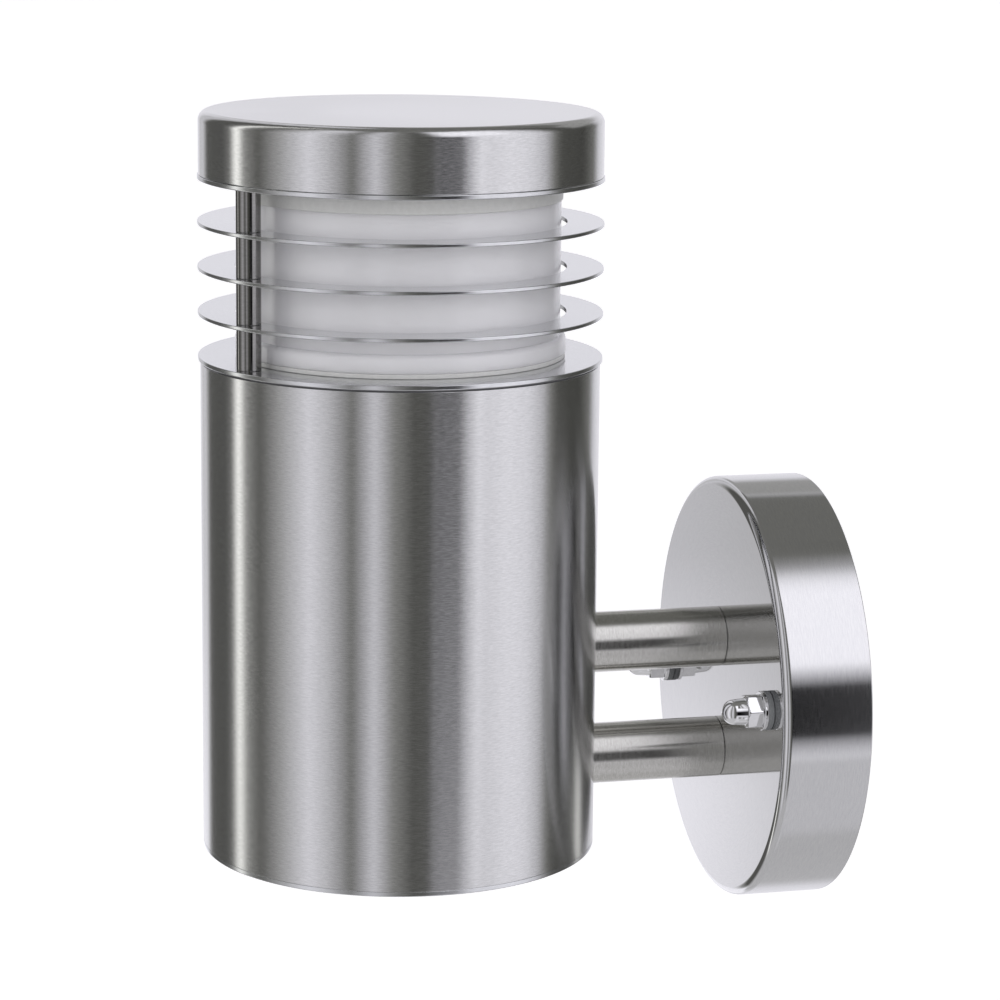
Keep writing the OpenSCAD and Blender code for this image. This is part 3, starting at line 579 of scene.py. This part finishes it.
# Radii in the outline's order: middle, lower edge, upper edge, foot of the rim, the rim's outer and inner
# edge, the corner inside the rim, middle. A corner on the axis has none.
BASE_ROUNDING = [0, 0.3, 0.1, 0.05, 0.2, 0.2, 0.3, 0]

bottom, top = heights("body_tube")
tube_in_r = TUBE_R - TUBE_WALL
build("body_tube_brushed", [turned(annulus(tube_in_r, TUBE_R, bottom, top), SAWN_EDGE)],
      "brushed_stainless", "body", ["body_tube"])
print("body tube", round(top - bottom, 2), "mm high")

bottom, top = heights("base_plate")
rim_r = tube_in_r - FIT
base_line = [
    (0, bottom), (TUBE_R, bottom), (TUBE_R, bottom + BASE_T), (rim_r, bottom + BASE_T), (rim_r, top),
    (rim_r - BASE_RIM_WALL, top), (rim_r - BASE_RIM_WALL, bottom + BASE_T), (0, bottom + BASE_T)]
build("base_plate_pressed", [turned(base_line, BASE_ROUNDING, closed=False)],
      "satin_stainless", "body", ["base_plate"])

# %% [markdown]
# ## Plates, louvre rings and gasket
#
# The louvre is a stack: a plate on the tube, three rings and the cap's plate, held apart by short spacers
# on two tie rods. They are punched and their edges broken, the lower one a little rounder than the upper
# one. They stand 0.6 mm proud of the tube, which draws the fine shadow lines of the head. Copies of one
# ring would do, but each one takes its height from its own solid, so that the stack stays where the model
# has it.

# %% Louvre
# Radii of a punched plate: lower inner, lower outer, upper outer and upper inner edge
PUNCHED = [0.12, 0.3, 0.2, 0.12]
CUT_EDGE = 0.15
# Radius of the hole in each plate and ring
HOLES = {"top_plate": 36.0, "louvre_ring_1": 42.0, "louvre_ring_2": 42.0, "louvre_ring_3": 42.0}

for node, hole_r in HOLES.items():
    build(f"{node}_punched", [turned(annulus(hole_r, DISC_R, *heights(node)), PUNCHED)],
          "satin_stainless", "head", [node])
gasket_line = annulus(tube_in_r, radius_of("head_gasket"), *heights("head_gasket"))
build("head_gasket_cut", [turned(gasket_line, CUT_EDGE)], "black_rubber", "head", ["head_gasket"])
print("punched plates:", len(HOLES), "with an outer radius of", DISC_R, "mm")

# %% Posts of the louvre
# Each post is four spacer tubes on one tie rod. The posts stand opposite each other, 24.4 degrees round.
SPACER_R = 3.1
SPACER_BORE_R = 1.7
SPACER_EDGE = 0.15
POST_R = 46.7
POST_TURN = radians(24.4)

posts = [LAMP_AXIS + POST_R * np.array([sin(turn), -cos(turn), 0]) for turn in (POST_TURN, POST_TURN + pi)]
for node in ("spacers_1", "spacers_2", "spacers_3", "spacers_4"):
    line = annulus(SPACER_BORE_R, SPACER_R, *heights(node))
    build(f"{node}_turned", [turned(line, SPACER_EDGE, centre=post, columns=SMALL_ROUND) for post in posts],
          "turned_stainless", "head", [node])
print("posts at", [post.round(1).tolist() for post in posts])

# %% [markdown]
# ## Cap
#
# The cap is pressed from 1 mm sheet, so its upper edge has the radius of the press tool, about 2.6 mm,
# and its wall is as thick in the bend as elsewhere. It is pushed over a step on the plate below it. A
# bevelled cylinder would lose the even wall, and an outline with two radii on one centre keeps it.

# %% Cap and its plate
CAP_WALL = 1.0
CAP_EDGE_R = 2.6
CAP_PLATE_T = 1.2
# Arcs on a bend as wide as the cap's or the wall plate's get more steps than small edges do.
BEND_STEPS = 12
# Radii in the outline's order: middle, inside of the bend, inner and outer edge of the mouth, outside of
# the bend, middle
CAP_ROUNDING = [0, CAP_EDGE_R - CAP_WALL, 0.12, 0.25, CAP_EDGE_R, 0]
# Middle, lower edge, upper edge, foot of the step, upper edge of the step, middle
CAP_PLATE_ROUNDING = [0, 0.3, 0.2, 0.05, 0.3, 0]

CAP_R = radius_of("cap")
cap_line = cup(CAP_R, CAP_WALL, *heights("cap"))
build("cap_pressed", [turned(cap_line, CAP_ROUNDING, closed=False, steps=BEND_STEPS)],
      "brushed_stainless", "head", ["cap"])

bottom, top = heights("cap_plate")
step_r = CAP_R - CAP_WALL - FIT
cap_plate_line = [
    (0, bottom), (DISC_R, bottom), (DISC_R, bottom + CAP_PLATE_T),
    (step_r, bottom + CAP_PLATE_T), (step_r, top), (0, top)]
build("cap_plate_stepped", [turned(cap_plate_line, CAP_PLATE_ROUNDING, closed=False)],
      "satin_stainless", "head", ["cap_plate"])
print("cap", 2 * CAP_R, "mm across")

# %% [markdown]
# ## Diffuser and its gaskets
#
# The diffuser is an opal tube with a thicker foot. Its shoulder is rounded, which gives the bright band
# just above the plate. A soft gasket lies under the foot and another one caps the upper edge. All three
# are turned outlines too, and the upper gasket's is a channel that reaches over both sides of the tube.

# %% Diffuser
DIFFUSER_WALL = 3.0
FOOT_H = 4.7
SHOULDER_R = 1.45
SHOULDER_STEPS = 8
# Radii in the outline's order: inner and outer edge of the foot, shoulder, corner above the shoulder,
# outer and inner edge of the top
DIFFUSER_ROUNDING = [0.3, 0.3, SHOULDER_R, 0.04, 0.4, 0.4]
UPPER_GASKET_WALL = 0.4

bottom, top = heights("diffuser")
foot_r = radius_of("diffuser")
wall_r = radius_of("upper_gasket") - UPPER_GASKET_WALL
hollow_r = wall_r - DIFFUSER_WALL
diffuser_line = [
    (hollow_r, bottom), (foot_r, bottom), (foot_r, bottom + FOOT_H),
    (wall_r, bottom + FOOT_H), (wall_r, top), (hollow_r, top)]
build("diffuser_opal", [turned(diffuser_line, DIFFUSER_ROUNDING, steps=SHOULDER_STEPS)],
      "opal_plastic", "head", ["diffuser"])
print("diffuser", round(2 * wall_r, 2), "mm across above its foot")

# %% Gaskets of the diffuser
MOULDED_EDGE = 0.3
UPPER_GASKET_ROOF = 1.0
# Radii in the outline's order: the inner lip's two edges, the channel's two corners, the outer lip's two
# edges, and the roof's two edges
UPPER_GASKET_ROUNDING = [0.15, 0.1, 0.1, 0.1, 0.1, 0.15, 0.2, 0.2]

foot_gasket_line = annulus(hollow_r, radius_of("foot_gasket"), *heights("foot_gasket"))
build("foot_gasket_moulded", [turned(foot_gasket_line, MOULDED_EDGE)],
      "clear_silicone", "head", ["foot_gasket"])

bottom, top = heights("upper_gasket")
outer = wall_r + UPPER_GASKET_WALL
inner = hollow_r - UPPER_GASKET_WALL
roof = top - UPPER_GASKET_ROOF
upper_gasket_line = [
    (inner, bottom), (hollow_r - FIT, bottom), (hollow_r - FIT, roof), (wall_r + FIT, roof),
    (wall_r + FIT, bottom), (outer, bottom), (outer, top), (inner, top)]
build("upper_gasket_moulded", [turned(upper_gasket_line, UPPER_GASKET_ROUNDING)],
      "clear_silicone", "head", ["upper_gasket"])
print("upper gasket from", round(inner, 2), "to", round(outer, 2), "mm")

# %% [markdown]
# ## Wall plate and arms
#
# The wall plate is a drawn cup, 23.4 mm deep, with its mouth on the wall. Its section is like the cap's,
# turned to face out of the wall. The arms are plain tube, and their lamp ends are cut to the curve of the
# body. A boolean cut would leave ragged faces there. Here each point of the tube is moved instead, so
# that the end lies on the curve: its distance from the wall is the lamp's distance less the depth of the
# body's circle there.

# %% Wall plate
PLATE_WALL = 1.2
PLATE_EDGE_R = 2.2
# In the same order as the cap's
PLATE_ROUNDING = [0, PLATE_EDGE_R - PLATE_WALL, 0.2, 0.3, PLATE_EDGE_R, 0]
WALL_GASKET_W = 2.2
WALL_GASKET_EDGE = 0.25
WALL_CENTRE = np.zeros(3)

plate_r = radius_of("wall_plate")
plate_back, plate_front = off_wall("wall_plate")
plate_line = cup(plate_r, PLATE_WALL, plate_back, plate_front)
build("wall_plate_drawn", [turned(plate_line, PLATE_ROUNDING, centre=WALL_CENTRE, frame_of=OUT_OF_WALL,
                                  closed=False, steps=BEND_STEPS)],
      "plate_stainless", "body", ["wall_plate"])
print("wall plate", 2 * plate_r, "mm across,", plate_front, "mm out of the wall")

gasket_r = radius_of("wall_gasket")
wall_gasket_line = annulus(gasket_r - WALL_GASKET_W, gasket_r, *off_wall("wall_gasket"))
build("wall_gasket_cut", [turned(wall_gasket_line, WALL_GASKET_EDGE,
                                 centre=WALL_CENTRE, frame_of=OUT_OF_WALL)],
      "black_rubber", "body", ["wall_gasket"])

# %% Arms
ARM_WALL = 1.5
ARM_COLUMNS = 96
# Inner and outer edge on the wall's side, then outer and inner edge on the lamp's side
ARM_ROUNDING = [0.1, 0.3, 0.1, 0.1]


def arm(name, node):
    """A tube from the wall plate to the body. Each point keeps its angle and radius, and its distance
    from the wall is stretched so that the far end lies on the body's circle: end = reach - sqrt(R^2 -
    x^2)."""
    low, high = box_mm(node)
    outer_r = radius_of(node)
    centre = np.array([0.0, 0.0, (low[2] + high[2]) / 2])
    nearest, farthest = off_wall(node)
    points, normals, grain, closed = turned(
        annulus(outer_r - ARM_WALL, outer_r, nearest, farthest), ARM_ROUNDING,
        centre=centre, frame_of=OUT_OF_WALL, columns=ARM_COLUMNS)
    reach = -LAMP_AXIS[1]
    end = reach - np.sqrt((TUBE_R + FIT) ** 2 - points[:, :, 0] ** 2)
    share = (-points[:, :, 1] - nearest) / (farthest - nearest)
    points[:, :, 1] -= share * (end - farthest)
    build(name, [(points, normals, grain, closed)], "arm_stainless", "body", [node])
    print(name, 2 * outer_r, "mm across, at z =", round(centre[2], 2), "mm")


arm("upper_arm_tube", "upper_arm")
arm("lower_arm_tube", "lower_arm")

# %% [markdown]
# ## Fixings of the wall plate
#
# Two dome nuts hold the plate. Each one sits on a plain washer and a grey sealing washer that keeps the
# rain out. A dome nut is a hexagon under a ball, and the hexagon's corners are cut by a cone on the lathe
# at both ends. Blender could cut a six-sided cylinder with a cone, but as a surface it is simpler: one
# radius for each height and angle, the smaller of the hexagon's and the cone's.

# %% Washers
WASHER_R = 5.0
STUD_R = 2.5
STUD_FROM_AXIS = 43.0
STUD_TURN = radians(5.5)
WASHERS = (("sealing_washers", "sealing_washers_moulded", "grey_rubber", 0.3),
           ("plain_washers", "plain_washers_stamped", "polished_stainless", 0.2))

stud_places = [np.array([side * STUD_FROM_AXIS * cos(STUD_TURN), 0, side * STUD_FROM_AXIS * sin(STUD_TURN)])
               for side in (-1, 1)]
for node, name, slot, edge in WASHERS:
    line = annulus(STUD_R + FIT, WASHER_R, *off_wall(node))
    build(name, [turned(line, edge, centre=place, frame_of=OUT_OF_WALL, columns=SMALL_ROUND)
                 for place in stud_places],
          slot, "body", [node])
print("studs at", [place.round(1).tolist() for place in stud_places])

# %% Dome nuts
# An M5 nut is 8 mm across its flats. Its ball tapers a little from the hexagon to where the tip's circle
# starts.
NUT_AF = 8.0
NUT_HEX_H = 4.0
NUT_BORE_R = 2.55
NUT_BORE_H = 7.4
NUT_TURN = radians(9)
DOME_R = 3.75
DOME_TIP_R = 3.2
# The chamfer's cone is this much outside the flats at the hexagon's ends, and rises 0.55 mm for each mm
# outwards.
CHAMFER_START = 0.05
CHAMFER_SLOPE = 0.55
CORNER_WEAR = 0.08
NUT_COLUMNS = 144
HEXAGON_ROWS = 33
TIP_ROWS = 17
ONE_SIDE = radians(60)
SHARP_ANGLE = radians(22)


def dome_nut(centre, base, top):
    """One radius for each height and angle. The hexagon's radius is half its width over the cosine of
    the angle from the middle of the nearest side, less 0.08 mm at the corners. The cones let it be no
    more than half the width, plus 0.05 mm, plus the height from the nearer end over 0.55. The dome is
    a quarter of a circle on a short taper, and the bore is a plain hole from below."""
    flat = NUT_AF / 2
    corner = flat / cos(ONE_SIDE / 2)
    angle, radial = circle(NUT_COLUMNS, OUT_OF_WALL)
    to_flat = np.mod(angle - NUT_TURN, ONE_SIDE) - ONE_SIDE / 2
    hexagon = np.minimum(flat / np.cos(to_flat), corner - CORNER_WEAR)
    rise = np.linspace(0, NUT_HEX_H, HEXAGON_ROWS)
    cone = flat + CHAMFER_START + np.minimum(rise, NUT_HEX_H - rise) / CHAMFER_SLOPE
    side = np.minimum(hexagon[None], cone[:, None])

    quarter = np.linspace(0, pi / 2, TIP_ROWS)
    shoulder = top - base - DOME_TIP_R
    tip = np.stack([DOME_TIP_R * np.cos(quarter), shoulder + DOME_TIP_R * np.sin(quarter)], 1)
    tip[-1, 0] = 0
    taper_r = DOME_R + (DOME_TIP_R - DOME_R) * NUT_HEX_H / shoulder
    dome = np.concatenate([[(taper_r, NUT_HEX_H)], tip])
    bore = np.array([(0, NUT_BORE_H), (NUT_BORE_R, NUT_BORE_H), (NUT_BORE_R, 0)])

    round_bore, round_dome = (np.repeat(line[:, :1], NUT_COLUMNS, 1) for line in (bore, dome))
    radius = np.concatenate([round_bore, side, round_dome])
    height = base + np.concatenate([bore[:, 1], rise, dome[:, 1]])[:, None] + 0 * radius
    points = centre + radius[..., None] * radial + height[..., None] * OUT_OF_WALL[2]
    grain = np.stack([height - base, radius * np.cos(angle), radius * np.sin(angle), 0 * height], 2)
    return points, np.zeros_like(points), grain, False


nut_base, nut_top = off_wall("dome_nuts")
nuts = build("dome_nuts_polished", [dome_nut(place, nut_base, nut_top) for place in stud_places],
             "polished_stainless", "body", ["dome_nuts"])
nuts.data.set_sharp_from_angle(angle=SHARP_ANGLE)
print("dome nuts", round(nut_top - nut_base, 2), "mm high")

# %% [markdown]
# ## Light tent
#
# Bright metal can't be lit by lamps alone: it shows the room. The studio is a tent of white cloth with
# dark gaps between its panels, so the tube carries soft light and dark bands. The world is that tent. Its
# brightness depends on the direction alone: first on the compass direction, as tall panels and gaps, and
# then on a few patches over them, such as the dark opening overhead and the pale floor. Real cloth panels
# would do the same, but each one would have to be kept out of the camera's sight. The camera sees plain
# white in place of the tent.

# %% Tent panels and patches
# Compass direction in degrees and the brightness there. 0 is straight out of the wall, and 90 is to the
# right of someone who faces the wall. Between two panels the brightness changes evenly. A colour ramp
# holds 32 of them.
TENT_PANELS = [
    (-180, 0.10), (-158, 0.07), (-143, 0.20), (-133, 0.80), (-122, 0.88), (-88, 0.88), (-80, 0.60),
    (-74, 0.76), (-69, 0.45), (-65, 0.11), (-42, 0.12), (-35, 0.25), (-28.5, 1.65), (-22, 0.30),
    (-10, 0.12), (5, 0.48), (24, 0.98), (36, 0.68), (50, 0.20), (63, 0.82), (74, 0.30), (86, 0.10),
    (95, 0.16), (102, 0.90), (108, 1.30), (116, 1.30), (128, 1.00), (140, 1.10), (156, 1.00),
    (166, 0.74), (173, 0.28), (178, 0.12)]
# Patches over the panels: compass from and to, height above the horizon from and to, brightness, and how
# many degrees their edges are soft
TENT_PATCHES = {
    "opening overhead": (-200, 200, 66, 95, 0.20, 6),
    "pale wall high on the far side": (-165, -93, 16, 39, 0.40, 4),
    "dark wall over it": (-165, -93, 39, 95, 0.19, 2),
    "floor": (-200, 200, -95, -46, 0.60, 6),
    "floor beside the camera": (101, 145, -95, -22, 0.70, 7),
    "low wall on the left": (-95, -71, -45, -14, 1.16, 2),
    "window beside the camera": (101, 145, 20, 64, 1.34, 7),
    "dark table and camera": (94, 117, -20, 16, 0.0, 6),
}
# Tints of dark and of lit cloth. The warm stretch, given by its compass from and to, is a dark gap with one
# bright slit, and there all cloth has a tint in between, whatever its brightness.
TENT_DARK = (1.0, 1.0, 0.91)
TENT_LIGHT = (0.985, 0.975, 1.035)
TENT_WARM = (-64, -20)
WARM_SHARE = 0.4
LIT_SHARE = 1.3
WHITE = (1, 1, 1, 1)


def tent_colour(bright, warm=False):
    """Tint = dark + (light - dark) * share, times the brightness. The share is 1.3 times the
    brightness and at most 1, or 0.4 in the warm stretch."""
    share = WARM_SHARE if warm else min(LIT_SHARE * bright, 1)
    return (*[bright * (dark + (light - dark) * share) for dark, light in zip(TENT_DARK, TENT_LIGHT)], 1)


def inside(tree, socket, start, end, soft):
    """1 where a value lies between start and end and 0 outside, with soft edges."""
    rises = between(tree, socket, 0, 1, start - soft, start + soft)
    falls = between(tree, socket, 1, 0, end - soft, end + soft)
    return add(tree, "Math", {"operation": "MULTIPLY"}, {0: rises, 1: falls}).outputs[0]


# %% Directions of the tent


def compass_and_height(tree):
    """Compass = arctan2(x, -y) and height = arcsin(z) of the direction that is looked in, both in
    degrees."""
    split = add(tree, "SeparateXYZ", {}, {"Vector": add(tree, "TexCoord").outputs["Generated"]})
    minus_y = add(tree, "Math", {"operation": "MULTIPLY", 1: -1.0}, {0: split.outputs["Y"]})
    turn = add(tree, "Math", {"operation": "ARCTAN2"}, {0: split.outputs["X"], 1: minus_y.outputs[0]})
    rise = add(tree, "Math", {"operation": "ARCSINE"}, {0: split.outputs["Z"]})
    compass, height = (add(tree, "Math", {"operation": "DEGREES"}, {0: angle.outputs[0]}).outputs[0]
                       for angle in (turn, rise))
    return compass, height


def tent():
    """Brightness = panel(compass), and then each patch = its own brightness where both angles are
    inside it."""
    world = bpy.data.worlds.new("light_tent")
    bpy.context.scene.world = world
    world.use_nodes = True
    tree = world.node_tree
    tree.nodes.clear()
    compass, height = compass_and_height(tree)
    ramp = add(tree, "ValToRGB", {}, {"Fac": between(tree, compass, 0, 1, -180, 180)})
    stops = ramp.color_ramp.elements
    stops.remove(stops[-1])
    for index, (degree, bright) in enumerate(TENT_PANELS):
        position = (degree + 180) / 360
        stop = stops[0] if index == 0 else stops.new(position)
        stop.position = position
        stop.color = tent_colour(bright, TENT_WARM[0] < degree < TENT_WARM[1])
    colour = ramp.outputs["Color"]
    for west, east, low, high, bright, soft in TENT_PATCHES.values():
        across = inside(tree, compass, west, east, soft)
        up = inside(tree, height, low, high, soft)
        share = add(tree, "Math", {"operation": "MULTIPLY"}, {0: across, 1: up})
        colour = add(tree, "Mix", {"data_type": "RGBA", 7: tent_colour(bright)},
                     {0: share.outputs[0], 6: colour}).outputs[2]
    rays = add(tree, "LightPath")
    seen = add(tree, "Mix", {"data_type": "RGBA", 7: WHITE}, {0: rays.outputs["Is Camera Ray"], 6: colour})
    back = add(tree, "Background", {"Strength": 1.0}, {"Color": seen.outputs[2]})
    add(tree, "OutputWorld", {}, {"Surface": back.outputs[0]})


tent()
print("tent panels:", len(TENT_PANELS), "patches:", len(TENT_PATCHES))

# %% [markdown]
# ## Floor and lamps
#
# A pale floor lies well below the light and keeps its soft shadow. It adds just enough of its own light,
# for the camera alone, to run into the white background. Two large soft lamps, one behind the camera's
# right shoulder and one on the light's left side, help the tent on the opal and rubber parts. Glossy rays
# pass lamps and floor by, so the metal doesn't show them, and the tent is all that it mirrors.

# %% Floor
FLOOR_Z = -0.9
FLOOR_SIZE = 40.0
FLOOR_GLOW = 0.6


def pale_floor():
    """One flat sheet, in metres. Its shader is matt, plus a little light of its own towards the
    camera."""
    half = FLOOR_SIZE / 2
    corners = [(x * half, y * half, FLOOR_Z) for x, y in ((-1, -1), (1, -1), (1, 1), (-1, 1))]
    mesh = bpy.data.meshes.new("floor")
    mesh.from_pydata(corners, [], [(0, 1, 2, 3)])
    floor = bpy.data.objects.new("floor", mesh)
    bpy.context.scene.collection.objects.link(floor)
    floor.visible_glossy = False
    paint = bpy.data.materials.new("pale_floor")
    paint.use_nodes = True
    tree = paint.node_tree
    tree.nodes.clear()
    matt = add(tree, "BsdfDiffuse", {"Color": linear("#F2F2F2")})
    rays = add(tree, "LightPath")
    glow = between(tree, rays.outputs["Is Camera Ray"], 0, FLOOR_GLOW, 0, 1)
    own = add(tree, "Emission", {"Color": WHITE}, {"Strength": glow})
    both = add(tree, "AddShader", {}, {0: matt.outputs[0], 1: own.outputs[0]})
    add(tree, "OutputMaterial", {}, {"Surface": both.outputs[0]})
    mesh.materials.append(paint)


pale_floor()
print("floor", FLOOR_SIZE, "m wide at z =", FLOOR_Z, "m")

# %% Lamps
# Places in metres and power in watts
LAMP_SIZE = 0.8
LAMP_AIM = (0, LAMP_AXIS[1] * MM, 0.05)


def soft_lamp(name, place, watts):
    """A square area lamp that faces the middle of the wall light. Glossy rays pass it by."""
    lamp = bpy.data.objects.new(name, bpy.data.lights.new(name, "AREA"))
    bpy.context.scene.collection.objects.link(lamp)
    lamp.data.size = LAMP_SIZE
    lamp.data.energy = watts
    lamp.location = place
    lamp.rotation_euler = (Vector(place) - Vector(LAMP_AIM)).to_track_quat("Z", "Y").to_euler()
    lamp.visible_glossy = False
    lamp.visible_camera = False
    print(name, watts, "W")


soft_lamp("lamp_by_camera", (1.3, -0.1, 0.3), 6.4)
soft_lamp("lamp_left", (-0.4, -1.65, 0.4), 7.3)
bpy.context.scene.view_settings.view_transform = "Standard"

# %% [markdown]
# ## Measure and finish
#
# The fine surfaces must fill the same box as the solids that they stand for. The last cell prints how many
# pieces were made and how many faces they have.

# %% Measure and finish
print("pieces made:", len(made), "with", sum(count for _, count in made), "faces")
